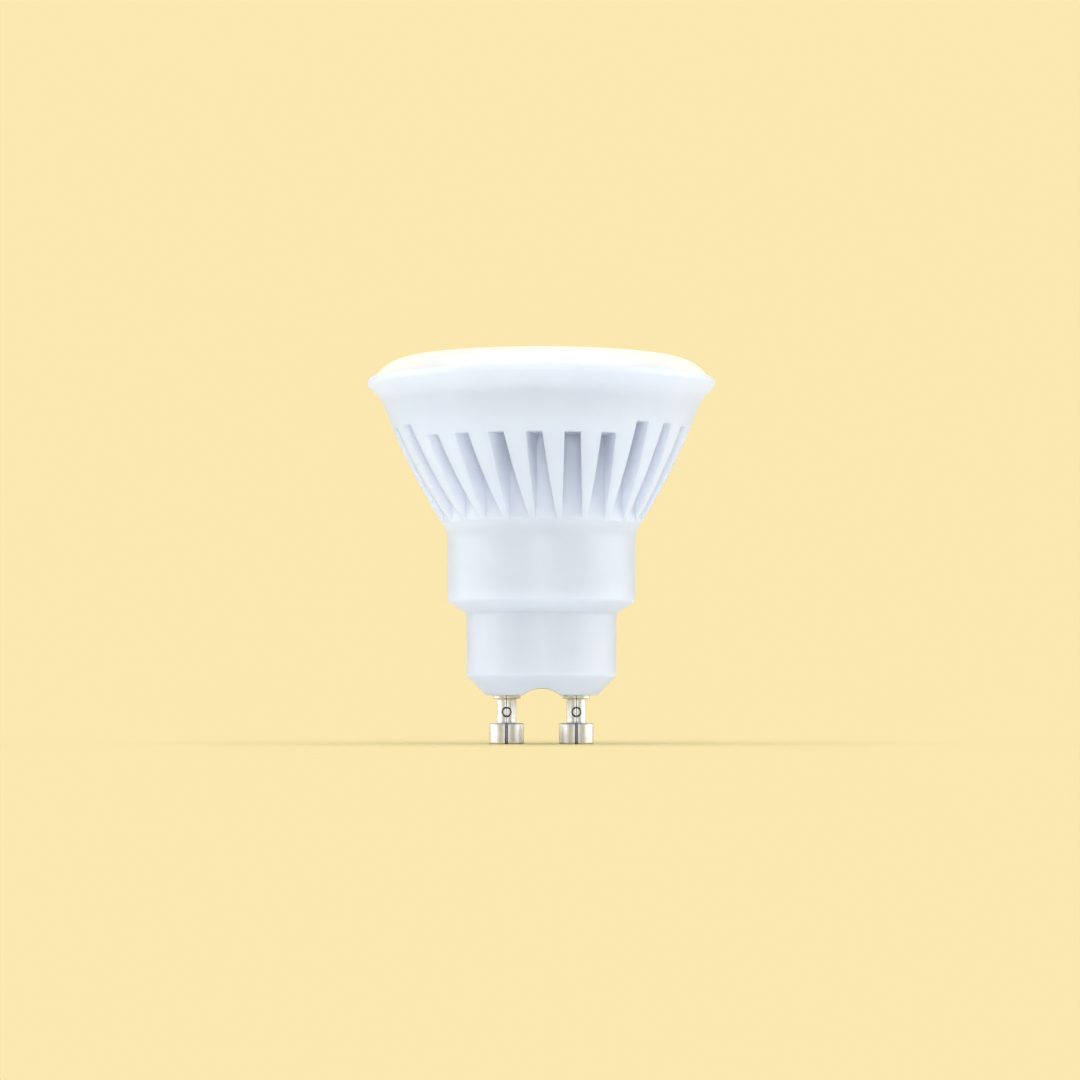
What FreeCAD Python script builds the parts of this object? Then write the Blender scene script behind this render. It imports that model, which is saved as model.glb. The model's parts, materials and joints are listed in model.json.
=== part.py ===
import FreeCAD, Part
import Sketcher

import os
import re

# A GU10 spotlight lamp standing on its two studs, front upwards, in millimetres.
# Origin: centre of the base's lower face, between the studs. +Z runs up the lamp, X along the studs.

doc = FreeCAD.newDocument("spotlight_lamp")

# Driving sizes, one cell each. Lengths are in mm, angles in degrees.
SIZES = {
    # Housing, outside, from the base upwards
    "base_diameter": 21.6,
    "base_length": 11.7,
    "step_height": 1.7,
    "neck_diameter": 27.0,
    "neck_length": 10.0,
    "neck_blend": 4.5,
    "bell_height": 19.1,
    "bell_bulge_radius": 84.0,
    "rim_diameter": 50.0,
    "rim_flare": 2.0,
    "rim_band": 0.95,
    "rim_rounding": 0.3,
    "rim_blend": 5.0,
    "step_rounding": 0.5,
    # Arched groove across the base's lower face
    "groove_width": 5.5,
    "groove_depth": 1.0,
    # Housing, inside
    "housing_wall": 1.3,
    "base_floor": 2.0,
    "shoulder_drop": 1.2,
    "chamber_depth": 5.6,
    "chamber_taper": 1.4,
    "rim_wall": 1.2,
    "skirt_depth": 2.4,
    "snap_depth": 0.25,
    "snap_height": 0.8,
    "seat_gap": 0.05,
    # Cooling slots: each lies off the axis, so that the fins swirl
    "slot_offset": 4.3,
    "slot_width": 2.2,
    "slot_draft": 1.5,
    "slot_wall": 2.45,
    "slot_overrun": 1.0,
    "slot_deck": 1.65,
    "slot_step": 1.75,
    "slots_in_quarter": 6,
    "slots_before_front": 4,
    # Diffuser
    "dome_height": 4.0,
    "dome_crown_rise": 1.85,
    "dome_shoulder_radius": 5.8,
    "dome_inset": 0.05,
    "dome_wall": 1.3,
    "diffuser_flange": 1.2,
    "skirt_wall": 1.0,
    "snap_clearance": 0.15,
    # Contact studs, rolled from sheet
    "stud_pitch": 10.0,
    "stud_length": 7.0,
    "stud_head_length": 3.0,
    "stud_head_diameter": 5.0,
    "stud_neck_diameter": 2.8,
    "stud_sheet": 0.4,
    "stud_collar_diameter": 4.0,
    "stud_collar": 0.5,
    "stud_flare_diameter": 3.8,
    "stud_flare": 0.35,
    "stud_mark_diameter": 1.26,
    "stud_mark_width": 0.26,
    "stud_mark_depth": 0.3,
    "stud_mark_drop": 2.4,
    "stud_seam_neck": 0.12,
    "stud_seam_head": 0.5,
    "stud_rounding": 0.25,
    "stud_clearance": 0.1,
    "stud_bevel_gap": 1.0,
    "stud_floor_gap": 0.6,
    # Heat spreader and what it carries
    "spreader_floor": 1.2,
    "spreader_wall": 0.8,
    "spreader_tube_wall": 1.0,
    "spreader_tube_gap": 6.25,
    "spreader_clearance": 0.15,
    "lead_hole_diameter": 5.2,
    "pad_gap": 1.0,
    "pad_thickness": 0.3,
    "led_board_gap": 1.95,
    "led_board_thickness": 1.2,
    "led_count": 8,
    "led_ring_share": 0.64,
    "led_length": 3.5,
    "led_width": 2.8,
    "led_height": 0.7,
    "connector_length": 7.0,
    "connector_width": 6.0,
    "connector_height": 3.0,
    "connector_slot_width": 1.2,
    "connector_slot_length": 2.6,
    "connector_slot_depth": 1.5,
    "screw_edge": 2.3,
    "screw_diameter": 2.4,
    "screw_head_diameter": 4.4,
    "screw_head_height": 1.5,
    "screw_clearance": 0.05,
    "screw_end_gap": 0.1,
    "screw_slot_width": 0.7,
    "screw_slot_depth": 0.6,
    # Driver insulator
    "insulator_wall": 0.8,
    "insulator_foot": 1.2,
    "insulator_clearance": 0.15,
    # Driver board, standing on the base's floor, and the room that its parts are laid out for
    "driver_room_width": 10.1,
    "driver_room_height": 35.5,
    "board_side_gap": 0.57,
    "driver_board_thickness": 1.0,
    "board_top_gap": 1.55,
    "board_stud_gap": 0.5,
    "board_tongue_width": 10.0,
    "board_tongue_gap": 0.6,
    "board_rib_length": 6.0,
    "board_rib_height": 1.6,
    "board_rib_thickness": 1.0,
    "board_rib_clearance": 0.1,
    "part_gap": 0.15,
    # Driver parts: height above the base's floor, and place across the board
    "input_capacitor_diameter": 8.0,
    "input_capacitor_length": 12.5,
    "input_capacitor_across": -4.2,
    "input_capacitor_up": 20.0,
    "output_capacitor_diameter": 6.3,
    "output_capacitor_length": 7.0,
    "output_capacitor_across": -4.2,
    "output_capacitor_up": 12.8,
    "can_rounding": 0.5,
    "can_crimp": 0.5,
    "can_crimp_up": 1.0,
    "inductor_diameter": 7.5,
    "inductor_length": 7.6,
    "inductor_flange": 1.2,
    "inductor_core_diameter": 3.2,
    "inductor_winding_margin": 0.3,
    "inductor_winding_gap": 0.05,
    "inductor_across": 3.9,
    "inductor_up": 12.8,
    "film_capacitor_width": 6.0,
    "film_capacitor_depth": 4.0,
    "film_capacitor_length": 7.0,
    "film_capacitor_across": 4.2,
    "film_capacitor_up": 20.6,
    "suppressor_diameter": 6.0,
    "suppressor_thickness": 3.4,
    "suppressor_across": 5.0,
    "suppressor_up": 31.0,
    "fuse_diameter": 2.8,
    "fuse_length": 7.0,
    "fuse_up": 6.2,
    "fuse_lead_diameter": 0.6,
    "fuse_lead_bend": 0.5,
    "rectifier_width": 6.2,
    "rectifier_depth": 2.4,
    "rectifier_length": 5.0,
    "rectifier_up": 4.5,
    "rectifier_leg_pitch": 2.54,
    "chip_width": 4.9,
    "chip_depth": 1.6,
    "chip_length": 3.9,
    "chip_up": 14.5,
    "chip_leg_pitch": 0.95,
    "leg_width": 0.4,
    "leg_reach": 0.9,
    "leg_thickness": 0.25,
    "resistor_width": 3.2,
    "resistor_depth": 0.6,
    "resistor_length": 1.6,
    "resistor_across": 3.4,
    "resistor_up": 22.0,
    "resistor_pitch": 4.0,
    "resistor_rows": 3,
    # Wires
    "wire_diameter": 1.0,
    "wire_bend": 1.2,
    "mains_lead_up": 5.6,
    "led_lead_pitch": 2.6,
    "led_lead_drop": 1.9,
}

# Sizes that follow from the driving ones. Each is written out where an expression names it.
WORKED_OUT = {
    "base_radius": "base_diameter / 2",
    "neck_radius": "neck_diameter / 2",
    "rim_radius": "rim_diameter / 2",
    "bell_top_radius": "rim_radius - rim_flare",
    "base_bevel": "base_radius - stud_pitch / 2 - stud_collar_radius - stud_bevel_gap",
    "neck_bottom": "base_length + step_height",
    "neck_top": "neck_bottom + neck_length",
    "bell_top": "neck_top + bell_height",
    "rim_bottom": "bell_top + rim_flare",
    "rim_top": "rim_bottom + rim_band",
    "groove_radius": "(groove_width * groove_width / 4 + groove_depth * groove_depth) / (2 * groove_depth)",
    # Inside of the housing
    "base_bore": "base_radius - housing_wall",
    "base_inner_bevel": "base_bore - stud_pitch / 2 - stud_flare_radius - stud_floor_gap",
    "neck_bore": "neck_radius - housing_wall",
    "shoulder": "neck_bottom + shoulder_drop",
    "skirt_bore": "bell_top_radius - rim_wall",
    "skirt_seat": "rim_top - skirt_depth",
    "snap_middle": "skirt_seat + skirt_depth / 2",
    "chamber_floor": "rim_top - chamber_depth",
    "chamber_radius": "skirt_bore - chamber_taper",
    # Slots
    "slot_floor_radius": "neck_bore + slot_wall",
    "tall_ceiling": "chamber_floor - slot_deck",
    "short_ceiling": "tall_ceiling - slot_step",
    "slot_pitch": "90 / slots_in_quarter",
    "slot_outer": "rim_radius + slot_overrun",
    # Diffuser: the crown's arc and the shoulder's arc run into each other
    "dome_top": "rim_top + dome_height",
    "dome_radius": "rim_radius - dome_inset",
    "crown_radius": "dome_radius * dome_radius / (2 * dome_crown_rise) + dome_crown_rise / 2",
    "crown_centre": "dome_top - crown_radius",
    "shoulder_across": "dome_radius - dome_shoulder_radius",
    "arc_distance": "crown_radius - dome_shoulder_radius",
    "shoulder_rise": "sqrt(arc_distance * arc_distance - shoulder_across * shoulder_across)",
    "shoulder_centre": "crown_centre + shoulder_rise",
    "inner_crown": "crown_radius - dome_wall",
    "inner_shoulder": "dome_shoulder_radius - dome_wall",
    "flange_top": "rim_top + diffuser_flange",
    "skirt_outer": "skirt_bore - snap_clearance",
    "skirt_inner": "skirt_outer - skirt_wall",
    "skirt_bottom": "skirt_seat + seat_gap",
    # Studs
    "stud_neck_radius": "stud_neck_diameter / 2",
    "stud_bore": "stud_neck_radius - stud_sheet",
    "stud_head_radius": "stud_head_diameter / 2",
    "stud_collar_radius": "stud_collar_diameter / 2",
    "stud_flare_radius": "stud_flare_diameter / 2",
    "stud_head_top": "stud_head_length - stud_length",
    # Spreader, pad and light board, stacked on the chamber's floor
    "spreader_top": "chamber_floor + spreader_floor",
    "spreader_rim": "skirt_seat - seat_gap",
    "spreader_radius": "chamber_radius - spreader_clearance",
    "spreader_rim_radius": "skirt_bore - spreader_clearance",
    "spreader_tube": "neck_bore - spreader_clearance",
    "spreader_tube_bore": "spreader_tube - spreader_tube_wall",
    "spreader_tube_bottom": "shoulder + insulator_foot + spreader_tube_gap",
    "lead_hole_radius": "lead_hole_diameter / 2",
    "pad_top": "spreader_top + pad_thickness",
    "led_board_top": "pad_top + led_board_thickness",
    "led_board_radius": "spreader_radius - spreader_wall - led_board_gap",
    "screw_radius": "screw_diameter / 2",
    "screw_head_radius": "screw_head_diameter / 2",
    "screw_circle_radius": "led_board_radius - screw_edge",
    "pad_radius": "screw_circle_radius - screw_radius - pad_gap",
    "connector_corner": "sqrt(connector_length * connector_length + connector_width * connector_width) / 2",
    "led_ring_room": "screw_circle_radius - screw_head_radius - connector_corner",
    "led_ring_radius": "connector_corner + led_ring_share * led_ring_room",
    "screw_bottom": "chamber_floor + screw_end_gap",
    "screw_head_top": "led_board_top + screw_head_height",
    # Insulator
    "insulator_radius": "spreader_tube_bore - insulator_clearance",
    "insulator_bore": "insulator_radius - insulator_wall",
    "insulator_foot_radius": "neck_bore - insulator_clearance",
    # Driver board: its front face looks along -Y and its back face along +Y
    "board_front": "stud_flare_radius + board_stud_gap",
    "board_back": "board_front + driver_board_thickness",
    "driver_bore": "min(base_bore; insulator_bore)",
    "board_half_width": "sqrt(driver_bore * driver_bore - board_back * board_back) - board_side_gap",
    "driver_board_top": "chamber_floor - insulator_wall - board_top_gap",
    "tongue_top": "base_floor + base_inner_bevel + board_tongue_gap",
    "rib_front": "board_front - board_rib_clearance - board_rib_thickness",
    "rib_slot": "driver_board_thickness + 2 * board_rib_clearance",
    # How much wider and higher the driver's room is than the one that its parts are laid out for
    "spread": "insulator_bore / driver_room_width",
    "rise": "(driver_board_top - base_floor) / driver_room_height",
    "fuse_radius": "fuse_diameter / 2",
    "fuse_reach": "fuse_length / 2 + fuse_lead_bend",
    "fuse_to_board": "part_gap + fuse_radius",
    "wire_radius": "wire_diameter / 2",
    "mains_lead_bottom": "stud_sheet - stud_length",
    "mains_lead_top": "base_floor + mains_lead_up",
    "led_lead_bottom": "driver_board_top - led_lead_drop",
    "led_lead_back": "board_front - led_lead_reach",
    "led_lead_reach": "wire_bend + wire_radius",
}

sheet = doc.addObject("Spreadsheet::Sheet", "sizes")
for row, (name, value) in enumerate(SIZES.items(), start=1):
    sheet.set(f"A{row}", name)
    sheet.set(f"B{row}", str(value))
    sheet.setAlias(f"B{row}", name)
doc.recompute()

sub_parts = []

# Volumes that differ by less than this are the same, in cubic mm
TINY = 1e-6

# An edge is level if it rises less than the first, and at a spot if it is nearer than the second
LEVEL = 1e-4
NEAR = 1e-3

QUARTERS = 4


def bound(text):
    """The expression in terms of the sheet's cells."""
    def written_out(match):
        word = match.group(0)
        if word in SIZES:
            return "sizes." + word
        if word in WORKED_OUT:
            return "(" + bound(WORKED_OUT[word]) + ")"
        return word
    return re.sub(r"[a-z][a-z_]*", written_out, text)


def value_of(text):
    """The number that an expression stands for."""
    return float(sheet.evalExpression(bound(text)))


def bind(feature, **expressions):
    """Binds properties to sizes. A double underscore in a name stands for a dot."""
    for name, text in expressions.items():
        feature.setExpression(name.replace("__", "."), bound(text))


def new_body(label, across="0", back="0", up="0"):
    body = doc.addObject("PartDesign::Body", label)
    body.Label = label
    body.AllowCompound = True
    bind(body, Placement__Base__x=across, Placement__Base__y=back, Placement__Base__z=up)
    sub_parts.append(body)
    return body


def new_box(label, width, depth, height, left, front, bottom):
    box = doc.addObject("Part::Box", label)
    box.Label = label
    bind(box, Length=width, Width=depth, Height=height)
    bind(box, Placement__Base__x=left, Placement__Base__y=front, Placement__Base__z=bottom)
    sub_parts.append(box)
    return box


def origin_feature(body, role):
    for feature in body.Origin.OriginFeatures:
        if feature.Role == role:
            return feature
    raise ValueError(role)


def new_sketch(body, name, plane="XZ_Plane", lift="0", turn="0"):
    """A sketch on one of the body's own planes, lifted along its normal and turned about it."""
    sketch = body.newObject("Sketcher::SketchObject", name)
    sketch.AttachmentSupport = [(origin_feature(body, plane), "")]
    sketch.MapMode = "FlatFace"
    bind(sketch, AttachmentOffset__Base__z=lift, AttachmentOffset__Rotation__Angle=turn)
    return sketch


def pin_point(sketch, edge, end, across, up):
    """Holds one end of an edge at its distances from the sketch's origin."""
    for kind, text in (("DistanceX", across), ("DistanceY", up)):
        index = sketch.addConstraint(Sketcher.Constraint(kind, -1, 1, edge, end, value_of(text)))
        sketch.setExpression(f"Constraints[{index}]", bound(text))


def outline(sketch, corners, closed=True):
    """
    An outline or an open path through the corners. A corner is (across, up), or
    (across, up, radius, side) where the edge that leaves it is an arc: side 1 has the arc's
    centre on the left of the way to the next corner, and -1 on the right.
    """
    first = len(sketch.Geometry)
    points = [FreeCAD.Vector(value_of(c[0]), value_of(c[1]), 0) for c in corners]
    edge_count = len(corners) if closed else len(corners) - 1
    # The sketch keeps every arc anticlockwise, so one that runs clockwise has its ends swapped
    swapped = [len(corner) == 4 and corner[3] < 0 for corner in corners]
    for index in range(edge_count):
        start = points[index]
        end = points[(index + 1) % len(points)]
        if len(corners[index]) == 2:
            sketch.addGeometry(Part.LineSegment(start, end), False)
        else:
            radius = value_of(corners[index][2])
            sketch.addGeometry(arc_between(start, end, radius, swapped[index]), False)
    for index in range(edge_count):
        edge = first + index
        start_end = 2 if swapped[index] else 1
        pin_point(sketch, edge, start_end, corners[index][0], corners[index][1])
        if index or closed:
            earlier = (index - 1) % edge_count
            meeting_end = 1 if swapped[earlier] else 2
            sketch.addConstraint(Sketcher.Constraint(
                "Coincident", first + earlier, meeting_end, edge, start_end))
        if len(corners[index]) == 4:
            hold_radius(sketch, edge, corners[index][2])
    if not closed:
        last = edge_count - 1
        pin_point(sketch, first + last, 1 if swapped[last] else 2, corners[-1][0], corners[-1][1])
    return sketch


def arc_between(start, end, radius, clockwise):
    """The shorter arc from start to end, as an anticlockwise arc of a circle."""
    if clockwise:
        start, end = end, start
    half = (end - start) / 2
    to_centre = FreeCAD.Vector(-half.y, half.x, 0).normalize()
    centre = start + half + to_centre * (radius ** 2 - half.Length ** 2) ** 0.5
    round_line = Part.Circle(centre, FreeCAD.Vector(0, 0, 1), radius)
    return Part.ArcOfCircle(round_line, round_line.parameter(start), round_line.parameter(end))


def hold_radius(sketch, edge, text):
    number = sketch.addConstraint(Sketcher.Constraint("Radius", edge, value_of(text)))
    sketch.setExpression(f"Constraints[{number}]", bound(text))


def box_corners(left, bottom, right, top):
    return [(left, bottom), (right, bottom), (right, top), (left, top)]


def circle(sketch, across, up, radius):
    sketch.addGeometry(Part.Circle(
        FreeCAD.Vector(value_of(across), value_of(up), 0), FreeCAD.Vector(0, 0, 1), value_of(radius)))
    edge = len(sketch.Geometry) - 1
    pin_point(sketch, edge, 3, across, up)
    hold_radius(sketch, edge, radius)
    return sketch


def revolve(body, name, corners):
    """A turned solid: the outline goes once round the body's Z axis."""
    sketch = outline(new_sketch(body, name + "_section"), corners)
    solid = body.newObject("PartDesign::Revolution", name)
    solid.Profile = sketch
    solid.ReferenceAxis = (sketch, ["V_Axis"])
    solid.Angle = 360
    doc.recompute()
    return solid


def cut(body, name, sketch, length, both_ways=False, backwards=False):
    """A pocket that has to take something away."""
    before = body.Shape.Volume
    pocket = body.newObject("PartDesign::Pocket", name)
    pocket.Profile = sketch
    pocket.Midplane = both_ways
    pocket.Reversed = backwards
    bind(pocket, Length=length)
    doc.recompute()
    if body.Shape.Volume > before - TINY:
        raise ValueError(name + " cuts nothing")
    return pocket


def pad(body, name, sketch, length, backwards=False):
    solid = body.newObject("PartDesign::Pad", name)
    solid.Profile = sketch
    solid.Reversed = backwards
    bind(solid, Length=length)
    doc.recompute()
    return solid


def sweep(body, name, path, section):
    """Draws the section along the path. Both sketches have to be up to date first."""
    doc.recompute()
    pipe = body.newObject("PartDesign::AdditivePipe", name + "_pipe")
    pipe.Profile = section
    pipe.Spine = (path, [])
    doc.recompute()


def repeat_round(body, name, feature, angle, count):
    pattern = body.newObject("PartDesign::PolarPattern", name)
    pattern.Originals = [feature]
    pattern.Axis = (origin_feature(body, "Z_Axis"), [""])
    bind(pattern, Angle=angle, Occurrences=count)
    body.Tip = pattern
    doc.recompute()
    return pattern


def edges_at(shape, spots):
    """Names of the ring edges that pass through the given (radius, height) spots."""
    names = []
    for number, edge in enumerate(shape.Edges, start=1):
        centre = edge.BoundBox.Center
        for radius, height in spots:
            level = edge.BoundBox.ZLength < LEVEL
            at_height = abs(centre.z - height) < NEAR
            at_radius = abs(edge.BoundBox.YMax - radius) < NEAR
            if level and at_height and at_radius:
                names.append(f"Edge{number}")
    return names


def round_rings(body, name, radius, spots):
    """Rounds the ring edges at spots given as pairs of expressions: radius and height."""
    base = body.Tip
    places = [(value_of(across), value_of(up)) for across, up in spots]
    names = edges_at(base.Shape, places)
    if len(names) < len(spots):
        raise ValueError(name + " misses an edge")
    fillet = body.newObject("PartDesign::Fillet", name)
    fillet.Base = (base, names)
    bind(fillet, Radius=radius)
    doc.recompute()
    return fillet


def make_housing():
    """The white moulding: bevelled base, neck, finned bell and rim, open at the top."""
    body = new_body("housing")
    revolve(body, "housing_shell", [
        ("0", "0"),
        ("base_radius - base_bevel", "0"),
        ("base_radius", "base_bevel"),
        ("base_radius", "base_length"),
        ("neck_radius", "neck_bottom"),
        ("neck_radius", "neck_top", "bell_bulge_radius", 1),
        ("bell_top_radius", "bell_top"),
        ("rim_radius", "rim_bottom"),
        ("rim_radius", "rim_top"),
        ("skirt_bore", "rim_top"),
        ("skirt_bore", "snap_middle + snap_height / 2"),
        ("skirt_bore + snap_depth", "snap_middle"),
        ("skirt_bore", "snap_middle - snap_height / 2"),
        ("skirt_bore", "skirt_seat"),
        ("chamber_radius", "chamber_floor"),
        ("neck_bore", "chamber_floor"),
        ("neck_bore", "shoulder"),
        ("base_bore", "shoulder"),
        ("base_bore", "base_floor + base_inner_bevel"),
        ("base_bore - base_inner_bevel", "base_floor"),
        ("0", "base_floor"),
    ])
    round_rings(body, "neck_blending", "neck_blend", [("neck_radius", "neck_top")])
    round_rings(body, "rim_blending", "rim_blend", [("bell_top_radius", "bell_top")])
    round_rings(body, "rim_edges", "rim_rounding", [
        ("rim_radius", "rim_bottom"), ("rim_radius", "rim_top")])
    round_rings(body, "step_edges", "step_rounding", [
        ("base_radius - base_bevel", "0"),
        ("base_radius", "base_bevel"),
        ("base_radius", "base_length"),
        ("neck_radius", "neck_bottom"),
    ])
    cut_groove(body)
    cut_stud_holes(body)
    add_board_ribs(body)
    cut_slots(body)


def cut_groove(body):
    sketch = outline(new_sketch(body, "groove_section"), [
        ("-groove_width / 2", "-groove_depth"),
        ("groove_width / 2", "-groove_depth"),
        ("groove_width / 2", "0", "groove_radius", 1),
        ("-groove_width / 2", "0"),
    ])
    cut(body, "groove", sketch, "base_diameter", both_ways=True)


def cut_stud_holes(body):
    sketch = new_sketch(body, "stud_hole_circles", plane="XY_Plane", lift="base_floor")
    for across in ("stud_pitch / 2", "-stud_pitch / 2"):
        circle(sketch, across, "0", "stud_neck_radius + stud_clearance")
    cut(body, "stud_holes", sketch, "base_floor")


def add_board_ribs(body):
    """Two ribs on the base's floor, with the driver board's tongue between them."""
    sketch = new_sketch(body, "board_rib_outlines", plane="XY_Plane", lift="base_floor")
    for front in ("rib_front", "rib_front + board_rib_thickness + rib_slot"):
        outline(sketch, box_corners(
            "-board_rib_length / 2", front, "board_rib_length / 2", f"{front} + board_rib_thickness"))
    pad(body, "board_ribs", sketch, "board_rib_height")


def slot_section(body, name, height, turn, widening):
    """A slot's plan at one height: two sides, the arc of its floor, and its open outer end."""
    right = f"(slot_offset + slot_width / 2 + {widening})"
    left = f"(slot_offset - slot_width / 2 - {widening})"
    floor = f"(slot_floor_radius - {widening})"
    sketch = new_sketch(body, name, plane="XY_Plane", lift=height, turn=turn)
    return outline(sketch, [
        (right, "-slot_outer"),
        (right, f"-sqrt({floor} * {floor} - {right} * {right})", floor, -1),
        (left, f"-sqrt({floor} * {floor} - {left} * {left})"),
        (left, "-slot_outer"),
    ])


def cut_slots(body):
    """Quarters of shorter and taller slots in turn. Draft widens each slot downwards."""
    for quarter in range(QUARTERS):
        ceiling = "tall_ceiling" if quarter % 2 else "short_ceiling"
        turn = f"{360 // QUARTERS * quarter} - slots_before_front * slot_pitch"
        widening = f"({ceiling} - neck_top) * tan(slot_draft)"
        top = slot_section(body, f"slot_top_{quarter}", ceiling, turn, "0")
        bottom = slot_section(body, f"slot_bottom_{quarter}", "neck_top", turn, widening)
        slot = body.newObject("PartDesign::SubtractiveLoft", f"slot_{quarter}")
        slot.Profile = top
        slot.Sections = [bottom]
        slot.Ruled = True
        doc.recompute()
        repeat_round(body, f"slots_{quarter}", slot, "slot_pitch * (slots_in_quarter - 1)",
                     "slots_in_quarter")


def make_diffuser():
    """The opal front: a flat crown with round shoulders, over a skirt that snaps into the rim."""
    edge = "(rim_top - shoulder_centre)"
    inner_edge = "(flange_top - shoulder_centre)"
    body = new_body("diffuser")
    revolve(body, "diffuser_shell", [
        ("0", "dome_top", "crown_radius", -1),
        ("shoulder_across * crown_radius / arc_distance",
         "crown_centre + shoulder_rise * crown_radius / arc_distance",
         "dome_shoulder_radius", -1),
        (f"shoulder_across + sqrt(dome_shoulder_radius * dome_shoulder_radius - {edge} * {edge})",
         "rim_top"),
        ("skirt_outer", "rim_top"),
        ("skirt_outer", "snap_middle + snap_height / 2"),
        ("skirt_outer + snap_depth", "snap_middle"),
        ("skirt_outer", "snap_middle - snap_height / 2"),
        ("skirt_outer", "skirt_bottom"),
        ("skirt_inner", "skirt_bottom"),
        ("skirt_inner", "flange_top"),
        (f"shoulder_across + sqrt(inner_shoulder * inner_shoulder - {inner_edge} * {inner_edge})",
         "flange_top", "inner_shoulder", 1),
        ("shoulder_across * inner_crown / arc_distance",
         "crown_centre + shoulder_rise * inner_crown / arc_distance", "inner_crown", 1),
        ("0", "dome_top - dome_wall"),
    ])


def make_stud(label, across):
    """
    A contact stud rolled from sheet: collar, neck and head, open along a seam at the front, with
    the round mark of the punch that crimps the neck on its wire.
    """
    body = new_body(label, across=across)
    revolve(body, label + "_sheet", [
        ("stud_bore", "base_floor + stud_flare"),
        ("stud_bore", "stud_head_top - stud_sheet"),
        ("stud_head_radius - stud_sheet", "stud_head_top - stud_sheet"),
        ("stud_head_radius - stud_sheet", "-stud_length"),
        ("stud_head_radius", "-stud_length"),
        ("stud_head_radius", "stud_head_top"),
        ("stud_neck_radius", "stud_head_top"),
        ("stud_neck_radius", "-stud_collar"),
        ("stud_collar_radius", "-stud_collar"),
        ("stud_collar_radius", "0"),
        ("stud_neck_radius", "0"),
        ("stud_neck_radius", "base_floor"),
        ("stud_flare_radius", "base_floor"),
        ("stud_flare_radius", "base_floor + stud_flare"),
    ])
    round_rings(body, label + "_edges", "stud_rounding", [
        ("stud_head_radius", "-stud_length"), ("stud_head_radius", "stud_head_top")])
    seam = new_sketch(body, label + "_seam_outline")
    outline(seam, box_corners(
        "-stud_seam_neck / 2", "stud_head_top",
        "stud_seam_neck / 2", "base_floor + stud_flare + stud_sheet"))
    cut(body, label + "_seam", seam, "stud_head_diameter", backwards=True)
    head_seam = new_sketch(body, label + "_head_seam_outline")
    outline(head_seam, box_corners(
        "-stud_seam_head / 2", "-stud_length - stud_sheet", "stud_seam_head / 2", "stud_head_top"))
    cut(body, label + "_head_seam", head_seam, "stud_head_diameter", backwards=True)
    mark = new_sketch(body, label + "_mark_circles", lift="stud_neck_radius - stud_mark_depth")
    for change in ("+", "-"):
        circle(mark, "0", "-stud_mark_drop", f"(stud_mark_diameter {change} stud_mark_width) / 2")
    cut(body, label + "_mark", mark, "stud_neck_radius", backwards=True)


def make_heat_spreader():
    """The aluminium cup: a floor for the light board, a raised wall, and a tube into the neck."""
    body = new_body("heat_spreader")
    revolve(body, "spreader_cup", [
        ("lead_hole_radius", "chamber_floor"),
        ("spreader_tube_bore", "chamber_floor"),
        ("spreader_tube_bore", "spreader_tube_bottom"),
        ("spreader_tube", "spreader_tube_bottom"),
        ("spreader_tube", "chamber_floor"),
        ("spreader_radius", "chamber_floor"),
        ("spreader_rim_radius", "spreader_rim"),
        ("spreader_rim_radius - spreader_wall", "spreader_rim"),
        ("spreader_radius - spreader_wall", "spreader_top"),
        ("lead_hole_radius", "spreader_top"),
    ])
    sketch = new_sketch(body, "spreader_hole_circles", plane="XY_Plane", lift="spreader_top")
    screw_holes(sketch)
    cut(body, "spreader_holes", sketch, "spreader_floor")


def screw_holes(sketch):
    for across in ("screw_circle_radius", "-screw_circle_radius"):
        circle(sketch, across, "0", "screw_radius + screw_clearance")


def make_disc(label, bottom, thickness, radius):
    """A flat ring round the hole that the wires pass through. Returns its sketch."""
    body = new_body(label)
    sketch = new_sketch(body, label + "_outline", plane="XY_Plane", lift=bottom)
    circle(sketch, "0", "0", radius)
    circle(sketch, "0", "0", "lead_hole_radius")
    return pad(body, label + "_plate", sketch, thickness)


def make_light_board():
    make_disc("thermal_pad", "spreader_top", "pad_thickness", "pad_radius")
    plate = make_disc("led_board", "pad_top", "led_board_thickness", "led_board_radius")
    screw_holes(plate.Profile[0])
    body = new_body("led_packages")
    sketch = new_sketch(body, "led_outline", plane="XY_Plane", lift="led_board_top")
    outline(sketch, box_corners(
        "-led_length / 2", "led_ring_radius - led_width / 2",
        "led_length / 2", "led_ring_radius + led_width / 2"))
    led = pad(body, "led", sketch, "led_height")
    repeat_round(body, "led_ring", led, "360", "led_count")
    make_connector()


def make_connector():
    """The light board's terminal, with a slot for a test probe over each wire."""
    body = new_body("led_connector", up="led_board_top")
    plan = new_sketch(body, "connector_outline", plane="XY_Plane")
    outline(plan, box_corners("-connector_length / 2", "-connector_width / 2",
                              "connector_length / 2", "connector_width / 2"))
    pad(body, "connector_block", plan, "connector_height")
    slots = new_sketch(body, "connector_slot_outlines", plane="XY_Plane", lift="connector_height")
    for across in ("-led_lead_pitch / 2", "led_lead_pitch / 2"):
        outline(slots, box_corners(
            f"{across} - connector_slot_width / 2", "-connector_slot_length / 2",
            f"{across} + connector_slot_width / 2", "connector_slot_length / 2"))
    cut(body, "connector_slots", slots, "connector_slot_depth")


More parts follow.
